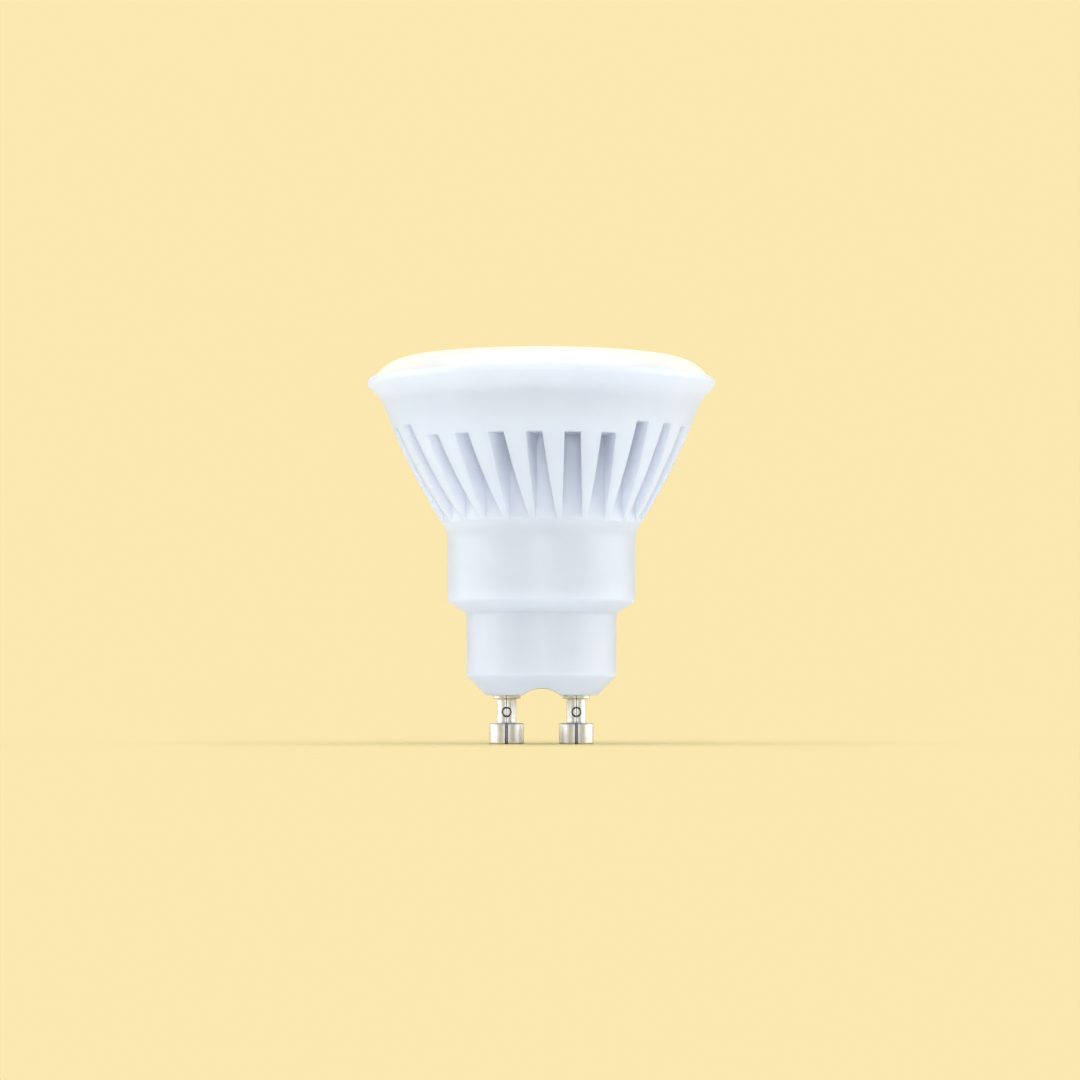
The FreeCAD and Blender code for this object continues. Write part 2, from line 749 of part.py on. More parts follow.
def make_board_screws():
    body = new_body("board_screws")
    across = "screw_circle_radius"
    shank_circle = new_sketch(body, "screw_shank_circle", plane="XY_Plane", lift="screw_bottom")
    circle(shank_circle, across, "0", "screw_radius")
    shank = pad(body, "screw_shank", shank_circle, "led_board_top - screw_bottom")
    head_circle = new_sketch(body, "screw_head_circle", plane="XY_Plane", lift="led_board_top")
    circle(head_circle, across, "0", "screw_head_radius")
    head = pad(body, "screw_head", head_circle, "screw_head_height")
    slot_outline = new_sketch(body, "screw_slot_outline", plane="XY_Plane", lift="screw_head_top")
    outline(slot_outline, box_corners(
        f"{across} - screw_head_diameter", "-screw_slot_width / 2",
        f"{across} + screw_head_diameter", "screw_slot_width / 2"))
    slot = cut(body, "screw_slot", slot_outline, "screw_slot_depth")
    pattern = repeat_round(body, "screw_pair", shank, "360", "2")
    pattern.Originals = [shank, head, slot]
    doc.recompute()


def make_insulator():
    """The plastic liner between the driver and the aluminium, closed at the top but for the wires."""
    body = new_body("driver_insulator")
    revolve(body, "insulator_shell", [
        ("insulator_bore", "shoulder"),
        ("insulator_foot_radius", "shoulder"),
        ("insulator_foot_radius", "shoulder + insulator_foot"),
        ("insulator_radius", "shoulder + insulator_foot"),
        ("insulator_radius", "chamber_floor"),
        ("lead_hole_radius", "chamber_floor"),
        ("lead_hole_radius", "chamber_floor - insulator_wall"),
        ("insulator_bore", "chamber_floor - insulator_wall"),
    ])


def make_driver_board():
    """The upright board. Its tongue stands on the base's floor, between the ribs."""
    body = new_body("driver_board")
    side = "board_half_width"
    tongue = "board_tongue_width / 2"
    sketch = outline(new_sketch(body, "driver_board_outline", lift="-board_back"), [
        (f"-{tongue}", "base_floor"),
        (tongue, "base_floor"),
        (tongue, "tongue_top"),
        (side, "tongue_top"),
        (side, "driver_board_top"),
        (f"-{side}", "driver_board_top"),
        (f"-{side}", "tongue_top"),
        (f"-{tongue}", "tongue_top"),
    ])
    pad(body, "driver_board_plate", sketch, "driver_board_thickness")


def make_can_capacitor(label, size):
    """An electrolytic can lying along the board's front, with the crimp near its foot."""
    radius = f"{size}_diameter / 2 * spread"
    length = f"{size}_length * rise"
    body = new_body(label, across=f"{size}_across * spread", back=f"board_front - part_gap - {radius}",
                    up=f"base_floor + {size}_up * rise")
    revolve(body, label + "_can", [
        ("0", "0"),
        (radius, "0"),
        (radius, "can_crimp_up"),
        (f"{radius} - can_crimp", "can_crimp_up + can_crimp"),
        (radius, "can_crimp_up + 2 * can_crimp"),
        (radius, length),
        ("0", length),
    ])
    round_rings(body, label + "_rim", "can_rounding", [(radius, length)])


def make_inductor():
    radius = "inductor_diameter / 2 * spread"
    core = "inductor_core_diameter / 2 * spread"
    length = "inductor_length * rise"
    place = {"across": "inductor_across * spread", "back": f"board_front - part_gap - {radius}",
             "up": "base_floor + inductor_up * rise"}
    revolve(new_body("inductor_core", **place), "inductor_drum", [
        ("0", "0"),
        (radius, "0"),
        (radius, "inductor_flange"),
        (core, "inductor_flange"),
        (core, f"{length} - inductor_flange"),
        (radius, f"{length} - inductor_flange"),
        (radius, length),
        ("0", length),
    ])
    revolve(new_body("inductor_winding", **place), "inductor_coil", box_corners(
        f"{core} + inductor_winding_gap", "inductor_flange + inductor_winding_gap",
        f"{radius} - inductor_winding_margin",
        f"{length} - inductor_flange - inductor_winding_gap"))


def make_board_parts():
    """The parts that lie flat on the board's two faces."""
    make_can_capacitor("input_capacitor", "input_capacitor")
    make_can_capacitor("output_capacitor", "output_capacitor")
    make_inductor()
    new_box("film_capacitor", "film_capacitor_width * spread", "film_capacitor_depth * spread",
            "film_capacitor_length * rise",
            "(film_capacitor_across - film_capacitor_width / 2) * spread",
            "board_front - film_capacitor_depth * spread", "base_floor + film_capacitor_up * rise")
    disc = new_body("surge_suppressor")
    face = new_sketch(disc, "suppressor_circle", lift="-board_front")
    circle(face, "suppressor_across * spread", "base_floor + suppressor_up * rise",
           "suppressor_diameter / 2 * min(spread; rise)")
    pad(disc, "suppressor_disc", face, "suppressor_thickness * spread")
    make_fuse()
    make_chip("bridge_rectifier", "rectifier", 2)
    make_chip("driver_chip", "chip", 4)
    make_surface_resistors()


def make_fuse():
    """The fusible resistor: a barrel on a wire whose two ends bend back into the board."""
    body = new_body("fusible_resistor", back="board_front - fuse_to_board",
                    up="base_floor + fuse_up * rise")
    path = outline(new_sketch(body, "fuse_lead_path", plane="XY_Plane"), [
        ("-fuse_reach", "fuse_to_board"),
        ("-fuse_reach", "fuse_lead_bend", "fuse_lead_bend", 1),
        ("-fuse_reach + fuse_lead_bend", "0"),
        ("fuse_reach - fuse_lead_bend", "0", "fuse_lead_bend", 1),
        ("fuse_reach", "fuse_lead_bend"),
        ("fuse_reach", "fuse_to_board"),
    ], closed=False)
    section = new_sketch(body, "fuse_lead_section", lift="-fuse_to_board")
    circle(section, "-fuse_reach", "0", "fuse_lead_diameter / 2")
    sweep(body, "fuse_lead", path, section)
    ring = new_sketch(body, "fuse_circle", plane="YZ_Plane", lift="-fuse_length / 2")
    circle(ring, "0", "0", "fuse_radius")
    pad(body, "fuse_barrel", ring, "fuse_length")


def make_chip(label, size, legs):
    """A chip flat on the board's back, with as many legs at each side."""
    width = f"{size}_width"
    length = f"{size}_length * rise"
    body = new_body(label, back="board_back", up=f"base_floor + {size}_up * rise")
    face = new_sketch(body, label + "_outline")
    outline(face, box_corners(f"-{width} / 2", "0", f"{width} / 2", length))
    pad(body, label + "_block", face, f"{size}_depth", backwards=True)
    feet = new_sketch(body, label + "_legs_outline")
    for row in range(legs):
        middle = f"({length} / 2 + {row - (legs - 1) / 2} * {size}_leg_pitch)"
        outline(feet, box_corners(f"-{width} / 2 - leg_reach", f"{middle} - leg_width / 2",
                                  f"{width} / 2 + leg_reach", f"{middle} + leg_width / 2"))
    pad(body, label + "_legs", feet, "leg_thickness", backwards=True)


def make_surface_resistors():
    """Two columns of chip resistors on the board's back, one sub-part of separate solids."""
    body = new_body("surface_resistors")
    sketch = new_sketch(body, "resistor_outlines", lift="-board_back")
    for column in ("resistor_across * spread", "-resistor_across * spread"):
        for row in range(SIZES["resistor_rows"]):
            bottom = f"base_floor + (resistor_up + {row} * resistor_pitch) * rise"
            outline(sketch, box_corners(
                f"{column} - resistor_width / 2", bottom,
                f"{column} + resistor_width / 2", f"{bottom} + resistor_length"))
    pad(body, "resistors", sketch, "resistor_depth", backwards=True)


def make_wire(label, across, start, corners):
    """A wire that lies in one upright plane. The path's corners are (back, up)."""
    body = new_body(label, across=across)
    path = outline(new_sketch(body, label + "_path", plane="YZ_Plane"), corners, closed=False)
    section = new_sketch(body, label + "_section", plane="XY_Plane", lift=start[1])
    circle(section, "0", start[0], "wire_radius")
    sweep(body, label, path, section)


def make_wires():
    for label, across in (("mains_lead_left", "-stud_pitch / 2"), ("mains_lead_right", "stud_pitch / 2")):
        make_wire(label, across, ("0", "mains_lead_bottom"), [
            ("0", "mains_lead_bottom"),
            ("0", "mains_lead_top - wire_bend", "wire_bend", -1),
            ("wire_bend", "mains_lead_top"),
            ("board_front", "mains_lead_top"),
        ])
    for label, across in (("led_lead_negative", "-led_lead_pitch / 2"),
                          ("led_lead_positive", "led_lead_pitch / 2")):
        make_wire(label, across, ("led_lead_back", "led_board_top"), [
            ("led_lead_back", "led_board_top"),
            ("led_lead_back", "led_lead_bottom + wire_bend", "wire_bend", 1),
            ("led_lead_back + wire_bend", "led_lead_bottom"),
            ("board_front", "led_lead_bottom"),
        ])


def check_and_export():
    """Stops at a failed feature or a bad solid, and writes one file for each sub-part."""
    doc.recompute()
    for feature in doc.Objects:
        if "Invalid" in feature.State or "Error" in feature.State:
            raise ValueError(f"{feature.Label} did not build")
    for part in sub_parts:
        if part.Shape.isNull() or not part.Shape.isValid() or not part.Shape.Solids:
            raise ValueError(f"{part.Label} has no sound solid")
    os.makedirs("parts", exist_ok=True)
    for part in sub_parts:
        part.Shape.exportStep(f"parts/{part.Label}.step")


make_housing()
make_diffuser()
make_stud("stud_left", "-stud_pitch / 2")
make_stud("stud_right", "stud_pitch / 2")
make_heat_spreader()
make_light_board()
make_board_screws()
make_insulator()
make_driver_board()
make_board_parts()
make_wires()
check_and_export()
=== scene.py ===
import json
import math

import bmesh
import bpy
from mathutils import Matrix, Vector


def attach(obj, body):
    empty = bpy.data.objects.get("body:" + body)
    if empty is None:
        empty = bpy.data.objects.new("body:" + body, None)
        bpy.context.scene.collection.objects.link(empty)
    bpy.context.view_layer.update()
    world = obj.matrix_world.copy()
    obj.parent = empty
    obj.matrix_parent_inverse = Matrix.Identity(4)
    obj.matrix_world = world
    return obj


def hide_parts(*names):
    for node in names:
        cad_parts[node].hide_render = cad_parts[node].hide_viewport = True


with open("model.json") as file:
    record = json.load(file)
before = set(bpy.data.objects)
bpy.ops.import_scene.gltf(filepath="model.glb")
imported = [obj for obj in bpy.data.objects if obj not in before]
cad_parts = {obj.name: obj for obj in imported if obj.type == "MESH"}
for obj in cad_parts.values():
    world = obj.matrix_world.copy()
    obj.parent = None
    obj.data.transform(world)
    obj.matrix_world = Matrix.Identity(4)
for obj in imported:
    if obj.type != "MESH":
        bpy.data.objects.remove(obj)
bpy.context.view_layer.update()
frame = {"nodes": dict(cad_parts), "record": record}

MM = 0.001

# How finely round things are divided
TURNS = 192
STUD_TURNS = 96
ARC_STEP = math.radians(9)
BELL_POINTS = 28
NECK_BLEND_POINTS = 6
RIM_BLEND_POINTS = 4
CROWN_STEPS = 24
SHOULDER_STEPS = 14
SLOT_FLOOR_STEPS = 6
ROD_SIDES = 48
GROOVE_SIDES = 96

# Nearer to the axis than this, a point lies on it
ON_AXIS = 1e-6

# Corners sharper than this stay crisp
CORNER_LIMIT = math.radians(28)

# Rays that the rounding of corners and the painted shade on the plating send out from a point
SHADER_SAMPLES = 6

# Search for where a blend meets the bell, in mm from the corner and in steps
BLEND_REACH = 8.0
BLEND_HALVINGS = 60

# How far a cutter passes the surface that it cuts, in mm
CUT_PAST = 1.0
HOLE_CUT_PAST = 0.5

# Housing, outside, in mm above the base's lower face
BASE_RADIUS = 10.8
BASE_BEVEL = 2.8
BASE_TOP = 11.7
NECK_RADIUS = 13.5
NECK_BOTTOM = 13.4
NECK_TOP = 23.4
BELL_RADIUS = 23.0
BELL_TOP = 42.5
BELL_BULGE = 84.0
NECK_BLEND = 4.5
RIM_BLEND = 5.0
STEP_ROUNDING = 0.5
RIM_ROUNDING = 0.3
RIM_RADIUS = 25.0
RIM_BOTTOM = BELL_TOP + RIM_RADIUS - BELL_RADIUS
RIM_TOP = RIM_BOTTOM + 0.95
GROOVE_WIDTH = 5.5
GROOVE_DEPTH = 1.0

# Housing, inside
WALL = 1.3
FLOOR = 2.0
INNER_BEVEL = 2.0
SHOULDER = NECK_BOTTOM + 1.2
CHAMBER_FLOOR = RIM_TOP - 5.6
SKIRT_BORE = BELL_RADIUS - 1.2
SKIRT_SEAT = RIM_TOP - 2.4
CHAMBER_RADIUS = SKIRT_BORE - 1.4
SNAP_MIDDLE = SKIRT_SEAT + 1.2
SNAP_HALF = 0.4
SNAP_DEPTH = 0.25

# Cooling slots
SLOT_OFFSET = 4.3
SLOT_WIDTH = 2.2
SLOT_DRAFT = math.radians(1.5)
SLOT_FLOOR_RADIUS = 14.65
SLOT_CEILING_TALL = CHAMBER_FLOOR - 1.65
SLOT_CEILING_SHORT = SLOT_CEILING_TALL - 1.75
SLOT_PITCH = math.radians(15)
SLOTS_IN_QUARTER = 6
SLOTS_BEFORE_FRONT = 4
EDGE_ROUNDING = 0.2

# Ribs for the driver board, on the base's floor
RIB_FRONT = 1.3
RIB_THICKNESS = 1.0
RIB_SLOT = 1.2
RIB_LENGTH = 6.0
RIB_HEIGHT = 1.6
RIB_ROOT = 0.5

# Diffuser
DOME_TOP = RIM_TOP + 4.0
DOME_CROWN_RISE = 1.85
DOME_SHOULDER = 5.8
DOME_RADIUS = RIM_RADIUS - 0.05
DOME_WALL = 1.3
FLANGE_TOP = RIM_TOP + 1.2
SKIRT_OUTER = SKIRT_BORE - 0.15
SKIRT_INNER = SKIRT_OUTER - 1.0
SKIRT_BOTTOM = SKIRT_SEAT + 0.05

# Contact studs
STUD_PITCH = 10.0
STUD_BOTTOM = -7.0
STUD_HEAD_TOP = -4.0
STUD_HEAD_RADIUS = 2.5
STUD_NECK_RADIUS = 1.4
STUD_SHEET = 0.4
STUD_COLLAR_RADIUS = 2.0
STUD_COLLAR = 0.5
STUD_FLARE_RADIUS = 1.9
STUD_FLARE_TOP = FLOOR + 0.35
STUD_SEAM_NECK = 0.12
STUD_SEAM_HEAD = 0.5
STUD_SEAM_OVERLAP = 0.02
STUD_MARK_RADIUS = 0.63
STUD_MARK_WIDTH = 0.26
STUD_MARK_DEPTH = 0.36
STUD_MARK_SLOPE = 0.3
STUD_MARK_UP = -2.4
STUD_ROUNDING = 0.25
SHEET_ROUNDING = 0.1
STUD_HOLE_IN_BASE = 1.5

# Plating is painted darker, as shade, where another face lies this near, in mm
PAINTED_SHADE_REACH = 0.3
PAINTED_SHADE_COLOUR = "#97979A"

# A turn of the winding, in mm, and the length of a wave texture's wave at a scale of 1
WINDING_TURN = 0.59218
WAVE_LENGTH = math.pi / 10

# Nodes that a piece of this scene replaces
REPLACED = ("housing", "diffuser", "stud_left", "stud_right")

# Floor and backdrop, in metres
SWEEP_FRONT = -1.5
SWEEP_BACK = 1.2
SWEEP_CURVE = 0.5
SWEEP_CURVE_STEPS = 12
SWEEP_TOP = 2.0
SWEEP_HALF_WIDTH = 2.0
SWEEP_SEEN = "#FBE8B0"
SWEEP_NEAR = "#FBE6A8"
SWEEP_BOUNCE = "#EEF1F6"
SHADOW_START = 0.02
SHADOW_END = 0.12

# Light: each softbox's place and size are in metres and its power is in watts
WORLD_STRENGTH = 0.3
SOFTBOX_COLOUR = "#F6FAFF"
SOFTBOX_TARGET = (0, 0, 0.02)
SIDE_ACROSS = 0.5
SIDE_BACK = 0.02
SIDE_HEIGHT = 0.07
SIDE_SIZE = (0.6, 0.15)
SIDE_POWER = 0.95
TOP_PLACE = (0, -0.1, 0.7)
TOP_SIZE = (1.0, 1.0)
TOP_POWER = 4.9
# Small and near the camera's line, so that its light reaches the slots' floors
FRONT_PLACE = (0, -0.75, 0.06)
FRONT_SIZE = (0.24, 0.2)
FRONT_POWER = 1.35

# A Mix node's colour sockets share their names with others, so these are their numbers
MIX_FACTOR = 0
MIX_COLOUR_A = 6
MIX_COLOUR_B = 7
MIX_RESULT = 2

# Camera, from the photograph: 1080 pixels square, 6.95 pixels to a millimetre at the lamp's axis
PHOTO_WIDTH = 1080
PIXELS_PER_MM = 6.95
BASE_FACE_ROW = 695.3
AXIS_COLUMN = 541.5
EYE_ROW = 710.0
EYE_DISTANCE = 500.0
SENSOR = 36.0
NEAREST = 0.01


def linear(hex_colour):
    """An sRGB hex colour as the linear values that Blender works in."""
    channels = []
    for start in (1, 3, 5):
        value = int(hex_colour[start:start + 2], 16) / 255
        channels.append(value / 12.92 if value <= 0.04045 else ((value + 0.055) / 1.055) ** 2.4)
    return (*channels, 1.0)


def per_metre(size_mm):
    """The scale at which a pattern's grain has that size in millimetres."""
    return 1 / (size_mm * MM)


def add_node(tree, kind, settings=None, inputs=None):
    """Adds a node with its settings. An input is a value, or the socket that it is linked from."""
    node = tree.nodes.new(kind)
    for name, value in (settings or {}).items():
        setattr(node, name, value)
    for socket, value in (inputs or {}).items():
        if isinstance(value, bpy.types.NodeSocket):
            tree.links.new(value, node.inputs[socket])
        else:
            node.inputs[socket].default_value = value
    return node


def new_material(name, **shader_values):
    """A Principled material. Returns it with its node tree and shader."""
    material = bpy.data.materials.new(name)
    material.use_nodes = True
    tree = material.node_tree
    shader = tree.nodes["Principled BSDF"]
    for socket, value in shader_values.items():
        shader.inputs[socket.replace("_", " ")].default_value = value
    return material, tree, shader


def vary_colour(tree, shader, dark, light, patch_mm):
    """A cloudy drift between two close colours, the way pigment settles in a real batch."""
    places = add_node(tree, "ShaderNodeTexCoord").outputs["Object"]
    cloud = add_node(tree, "ShaderNodeTexNoise", inputs={
        "Vector": places, "Scale": per_metre(patch_mm), "Detail": 3.0})
    ramp = add_node(tree, "ShaderNodeValToRGB", inputs={"Fac": cloud.outputs["Fac"]})
    ramp.color_ramp.elements[0].position = 0.35
    ramp.color_ramp.elements[0].color = linear(dark)
    ramp.color_ramp.elements[1].position = 0.65
    ramp.color_ramp.elements[1].color = linear(light)
    tree.links.new(ramp.outputs["Color"], shader.inputs["Base Color"])


def roughen(tree, shader, grain_mm, height_mm, low, high, stretch=(1, 1, 1), corner_mm=0):
    """
    A fine grain as bump, with the roughness drifting between low and high. Corners can be shaded
    as if rounded to a radius.
    """
    places = add_node(tree, "ShaderNodeTexCoord").outputs["Object"]
    stretched = add_node(tree, "ShaderNodeMapping", inputs={"Vector": places, "Scale": stretch})
    grain = add_node(tree, "ShaderNodeTexNoise", inputs={
        "Vector": stretched.outputs["Vector"], "Scale": per_metre(grain_mm), "Detail": 2.0})
    bump = add_node(tree, "ShaderNodeBump", inputs={
        "Height": grain.outputs["Fac"], "Distance": height_mm * MM, "Strength": 1.0})
    if corner_mm:
        corners = add_node(tree, "ShaderNodeBevel", {"samples": SHADER_SAMPLES}, {
            "Radius": corner_mm * MM})
        tree.links.new(corners.outputs["Normal"], bump.inputs["Normal"])
    tree.links.new(bump.outputs["Normal"], shader.inputs["Normal"])
    spread = add_node(tree, "ShaderNodeMapRange", inputs={
        "Value": grain.outputs["Fac"], "From Min": 0.3, "From Max": 0.7, "To Min": low, "To Max": high})
    tree.links.new(spread.outputs["Result"], shader.inputs["Roughness"])


def moulded_white_plastic():
    """Heat-conducting plastic, moulded in a spark-eroded tool: a satin white with a fine grain."""
    material, tree, shader = new_material("moulded_white_plastic", IOR=1.50)
    # Light spreads inside it by about a fin's thickness, which brightens the slots
    shader.inputs["Subsurface Weight"].default_value = 1.0
    shader.inputs["Subsurface Radius"].default_value = (1, 1, 1)
    shader.inputs["Subsurface Scale"].default_value = 2.5 * MM
    vary_colour(tree, shader, "#EBEFFA", "#EFF3FD", patch_mm=9)
    # The tool's real grain is about 0.05 mm, drawn here coarser so that it shows
    roughen(tree, shader, grain_mm=0.35, height_mm=0.006, low=0.34, high=0.46, corner_mm=EDGE_ROUNDING)
    return material


def lit_opal_polycarbonate():
    """Opal polycarbonate, moulded and polished, with the LEDs lighting it evenly from behind."""
    material, tree, shader = new_material("lit_opal_polycarbonate", IOR=1.585)
    # The sheet lets about half of the light through, so it is grey by itself and the LEDs make it white
    vary_colour(tree, shader, "#BBBBBA", "#BEBEBC", patch_mm=14)
    roughen(tree, shader, grain_mm=0.8, height_mm=0.004, low=0.16, high=0.24)
    shader.inputs["Emission Color"].default_value = linear("#FFFCF6")
    shader.inputs["Emission Strength"].default_value = 0.41
    return material


def nickel_plated_brass():
    """Brass strip, rolled to shape and nickel plated: fine draw lines run round the stud."""
    material, tree, shader = new_material("nickel_plated_brass", Metallic=1.0)
    vary_colour(tree, shader, "#DADADB", "#E3E3E4", patch_mm=1.5)
    # Painted shade: the plating's colour darkens in the mark, the seam and under the collar, wherever
    # another face lies near
    open_air = add_node(tree, "ShaderNodeAmbientOcclusion", {
        "samples": SHADER_SAMPLES, "only_local": True}, {"Distance": PAINTED_SHADE_REACH * MM})
    plating = shader.inputs["Base Color"].links[0].from_socket
    painted_shade_mix = add_node(tree, "ShaderNodeMix", {"data_type": "RGBA"}, {
        MIX_FACTOR: open_air.outputs["AO"], MIX_COLOUR_A: linear(PAINTED_SHADE_COLOUR), MIX_COLOUR_B: plating})
    tree.links.new(painted_shade_mix.outputs[MIX_RESULT], shader.inputs["Base Color"])
    # Draw lines lie level, so the grain is squeezed along the stud's axis
    roughen(tree, shader, grain_mm=1.6, height_mm=0.0012, low=0.38, high=0.46, stretch=(1, 1, 9))
    return material


def nickel_plated_steel():
    """Screws: cold-headed steel with a thin plating."""
    material, tree, shader = new_material("nickel_plated_steel", Metallic=1.0)
    vary_colour(tree, shader, "#B9B8B4", "#C8C7C4", patch_mm=1)
    roughen(tree, shader, grain_mm=0.4, height_mm=0.003, low=0.25, high=0.38)
    return material


def drawn_aluminium():
    """Aluminium sheet, deep drawn: pale grey, with level draw lines."""
    material, tree, shader = new_material("drawn_aluminium", Metallic=1.0)
    vary_colour(tree, shader, "#D4D6D8", "#DEDFE0", patch_mm=6)
    roughen(tree, shader, grain_mm=1.2, height_mm=0.006, low=0.30, high=0.42, stretch=(1, 1, 8))
    return material


def coated_board(name, dark, light):
    """Circuit board under solder mask: an even coat with a faint weave of the glass below."""
    material, tree, shader = new_material(name, IOR=1.55)
    vary_colour(tree, shader, dark, light, patch_mm=4)
    roughen(tree, shader, grain_mm=0.6, height_mm=0.01, low=0.28, high=0.40)
    return material


def moulded_part(name, dark, light, low, high, grain_mm=0.4):
    """Small moulded, dipped or sleeved parts, each between two close shades of its colour."""
    material, tree, shader = new_material(name, IOR=1.50)
    vary_colour(tree, shader, dark, light, patch_mm=3)
    roughen(tree, shader, grain_mm=grain_mm, height_mm=0.005, low=low, high=high)
    return material


def enamelled_copper_wire():
    """A close winding of enamelled wire, with its turns lying level."""
    material, tree, shader = new_material("enamelled_copper_wire", Metallic=1.0, Roughness=0.3)
    vary_colour(tree, shader, "#A4552B", "#C2703F", patch_mm=2)
    places = add_node(tree, "ShaderNodeTexCoord").outputs["Object"]
    turns = add_node(tree, "ShaderNodeTexWave", {"bands_direction": "Z"}, {
        "Vector": places, "Scale": WAVE_LENGTH * per_metre(WINDING_TURN)})
    bump = add_node(tree, "ShaderNodeBump", inputs={
        "Height": turns.outputs["Fac"], "Distance": 0.1 * MM})
    tree.links.new(bump.outputs["Normal"], shader.inputs["Normal"])
    return material


def turned_arc(centre, radius, start, end):
    """Points on an arc in the section plane, from one angle to the other, both included."""
    steps = max(2, round(abs(end - start) / ARC_STEP))
    points = []
    for step in range(steps + 1):
        angle = start + (end - start) * step / steps
        points.append((centre[0] + radius * math.cos(angle), centre[1] + radius * math.sin(angle)))
    return points


def rounded(corners):
    """An outline whose corners (across, up, radius) are rounded where their radius isn't 0."""
    points = []
    for index, (across, up, radius) in enumerate(corners):
        corner = Vector((across, up))
        if not radius:
            points.append((across, up))
            continue
        before = (Vector(corners[index - 1][:2]) - corner).normalized()
        after = (Vector(corners[(index + 1) % len(corners)][:2]) - corner).normalized()
        half_turn = before.angle(after) / 2
        centre = corner + (before + after).normalized() * radius / math.sin(half_turn)
        reach = radius / math.tan(half_turn)
        start = corner + before * reach - centre
        end = corner + after * reach - centre
        first = math.atan2(start.y, start.x)
        turn = math.atan2(start.x * end.y - start.y * end.x, start.dot(end))
        points += turned_arc(centre, radius, first, first + turn)
    return points


def circle_through(start, end, radius):
    """The centre, on the left of the way from start to end, of the arc that joins them."""
    half = (Vector(end) - Vector(start)) / 2
    left = Vector((-half.y, half.x)).normalized()
    return Vector(start) + half + left * math.sqrt(radius ** 2 - half.length_squared)


def make_mesh(name, mesh_maker):
    """A mesh from a function that fills a bmesh in mm."""
    mesh = bpy.data.meshes.new(name)
    work = bmesh.new()
    mesh_maker(work)
    bmesh.ops.recalc_face_normals(work, faces=work.faces)
    bmesh.ops.scale(work, vec=(MM, MM, MM), verts=work.verts)
    work.to_mesh(mesh)
    work.free()
    return mesh


def new_piece(name, mesh_maker, material, replaced):
    """A piece in place of one of the CAD's nodes. It rides on the lamp."""
    mesh = make_mesh(name, mesh_maker)
    mesh.materials.append(material)
    piece = bpy.data.objects.new(name, mesh)
    bpy.context.scene.collection.objects.link(piece)
    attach(piece, "root")
    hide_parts(replaced)
    return piece


def turn_outline(work, outline, turns):
    """Turns a closed outline of (radius, height) once round Z. Points on the axis are shared."""
    rings = []
    for radius, height in outline:
        if radius < ON_AXIS:
            rings.append([work.verts.new((0, 0, height))] * turns)
            continue
        ring = []
        for turn in range(turns):
            angle = 2 * math.pi * turn / turns
            ring.append(work.verts.new((radius * math.cos(angle), radius * math.sin(angle), height)))
        rings.append(ring)
    for index, ring in enumerate(rings):
        above = rings[(index + 1) % len(rings)]
        for turn in range(turns):
            following = (turn + 1) % turns
            corners = [ring[turn], ring[following], above[following], above[turn]]
            face = list(dict.fromkeys(corners))
            if len(face) > 2:
                work.faces.new(face)


def tangent_ring(bell_centre, start, along, outward, radius):
    """
    The blend between the bell and a straight side that starts at the given point: its centre, and
    where it meets the straight side and the bell.
    """
    near, far = 0.0, BLEND_REACH
    for _ in range(BLEND_HALVINGS):
        middle = (near + far) / 2
        centre = start + along * middle + outward * radius
        if (centre - bell_centre).length < BELL_BULGE + radius:
            near = middle
        else:
            far = middle
    touch = start + along * near
    on_bell = bell_centre + (centre - bell_centre).normalized() * BELL_BULGE
    return centre, touch, on_bell


def arc_points(centre, start, end, count):
    """Points from start to end round a centre, both included, the shorter way."""
    first = start - centre
    last = end - centre
    turn = math.atan2(first.x * last.y - first.y * last.x, first.dot(last))
    points = []
    for step in range(count + 1):
        angle = turn * step / count
        spoke = Vector((first.x * math.cos(angle) - first.y * math.sin(angle),
                        first.x * math.sin(angle) + first.y * math.cos(angle)))
        points.append((centre.x + spoke.x, centre.y + spoke.y))
    return points


def bell_side():
    """The bell from the neck to the rim's cone, with its two blends, as plain corners."""
    bell_centre = circle_through((NECK_RADIUS, NECK_TOP), (BELL_RADIUS, BELL_TOP), BELL_BULGE)
    low, on_neck, low_end = tangent_ring(
        bell_centre, Vector((NECK_RADIUS, NECK_TOP)), Vector((0, -1)), Vector((1, 0)), NECK_BLEND)
    cone = Vector((1, 1)).normalized()
    high, on_cone, high_start = tangent_ring(
        bell_centre, Vector((BELL_RADIUS, BELL_TOP)), cone, Vector((1, -1)).normalized(), RIM_BLEND)
    points = arc_points(low, on_neck, low_end, NECK_BLEND_POINTS)
    points += arc_points(bell_centre, low_end, high_start, BELL_POINTS)[1:]
    points += arc_points(high, high_start, on_cone, RIM_BLEND_POINTS)[1:]
    return [(across, up, 0) for across, up in points]


def fill_housing(work):
    """The housing's shell: outside from the base up to the rim, then down the inside to its floor."""
    turn_outline(work, rounded([
        (0, 0, 0),
        (BASE_RADIUS - BASE_BEVEL, 0, STEP_ROUNDING),
        (BASE_RADIUS, BASE_BEVEL, STEP_ROUNDING),
        (BASE_RADIUS, BASE_TOP, STEP_ROUNDING),
        (NECK_RADIUS, NECK_BOTTOM, STEP_ROUNDING),
        *bell_side(),
        (RIM_RADIUS, RIM_BOTTOM, RIM_ROUNDING),
        (RIM_RADIUS, RIM_TOP, RIM_ROUNDING),
        (SKIRT_BORE, RIM_TOP, 0),
        (SKIRT_BORE, SNAP_MIDDLE + SNAP_HALF, 0),
        (SKIRT_BORE + SNAP_DEPTH, SNAP_MIDDLE, 0),
        (SKIRT_BORE, SNAP_MIDDLE - SNAP_HALF, 0),
        (SKIRT_BORE, SKIRT_SEAT, 0),
        (CHAMBER_RADIUS, CHAMBER_FLOOR, 0),
        (NECK_RADIUS - WALL, CHAMBER_FLOOR, 0),
        (NECK_RADIUS - WALL, SHOULDER, 0),
        (BASE_RADIUS - WALL, SHOULDER, 0),
        (BASE_RADIUS - WALL, FLOOR + INNER_BEVEL, 0),
        (BASE_RADIUS - WALL - INNER_BEVEL, FLOOR, 0),
        (0, FLOOR, 0),
    ]), TURNS)


